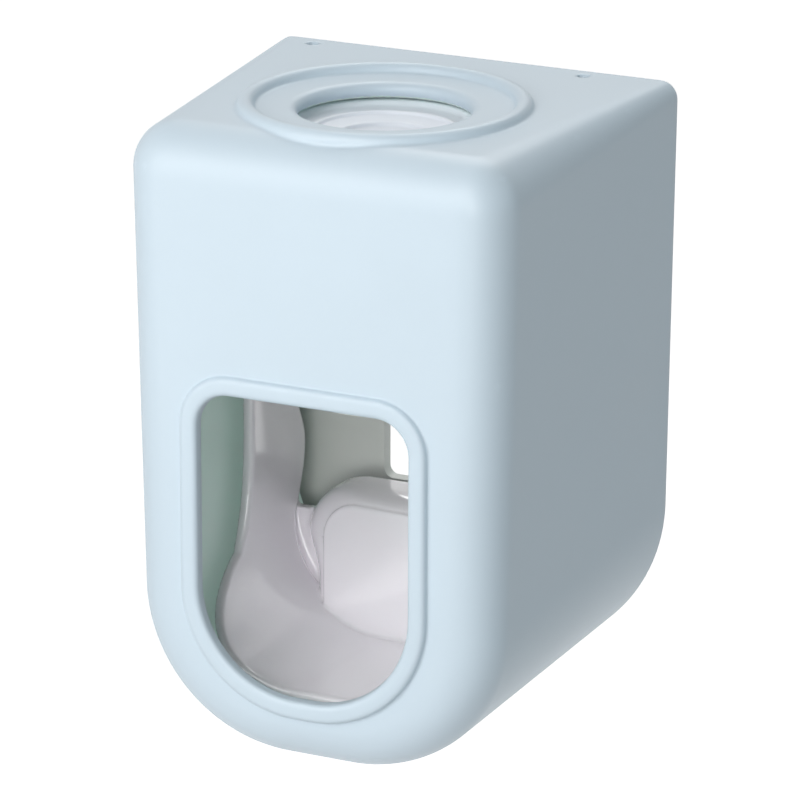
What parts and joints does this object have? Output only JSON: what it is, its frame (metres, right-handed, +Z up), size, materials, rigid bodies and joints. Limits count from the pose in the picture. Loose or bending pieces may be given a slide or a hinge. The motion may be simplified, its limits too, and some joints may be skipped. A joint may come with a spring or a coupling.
{
  "type": "toothpaste dispenser",
  "caption": "Wall-mounted toothpaste dispenser with a round-chinned cover, a ringed top socket for the tube and a swinging scoop behind a brush window that squeezes a soft pump",
  "frame": {"origin": "centre of the foam pad's wall face", "axes": "+X to the right as seen from the front, -Y out of the front face with the wall at y = 0, +Z up"},
  "size_m": [0.066, 0.0585, 0.0953],
  "materials": {
    "cover": "fine satin moulding, light blue",
    "white_moulding": "satin moulding",
    "glossy_white": "polished moulding",
    "silicone": "milky soft silicone",
    "steel": "plain stainless",
    "foam": "closed-cell foam tape"
  },
  "bodies": {
    "wall_bracket": {"wall_hanger": "white_moulding", "adhesive_pad": "foam"},
    "housing": {"shell": "cover", "back_plate": "white_moulding", "pump_frame": "white_moulding", "frame_screws": "steel", "tube_socket": "silicone", "inlet_seat": "white_moulding", "inlet_flap": "silicone", "pump_sleeve": "silicone", "sleeve_cap": "white_moulding", "outlet_nozzle": "silicone", "nozzle_cap": "white_moulding", "pivot_pins": "steel", "pin_clips": "steel"},
    "lever": {"push_lever": "glossy_white", "press_bar": "glossy_white", "return_springs": "steel"}
  },
  "joints": [
    {"name": "lift_off", "type": "slide", "parent": "wall_bracket", "child": "housing", "axis": [0, 0, 1], "range_m": [0, 0.007]},
    {"name": "lever_swing", "type": "hinge", "parent": "housing", "child": "lever", "pos_m": [0, -0.022, 0.015], "axis": [1, 0, 0], "range_deg": [0, 5.5], "stiffness_Nm_per_rad": 0.8, "springref_deg": -6.88, "deforming": ["pump_sleeve"]}
  ]
}
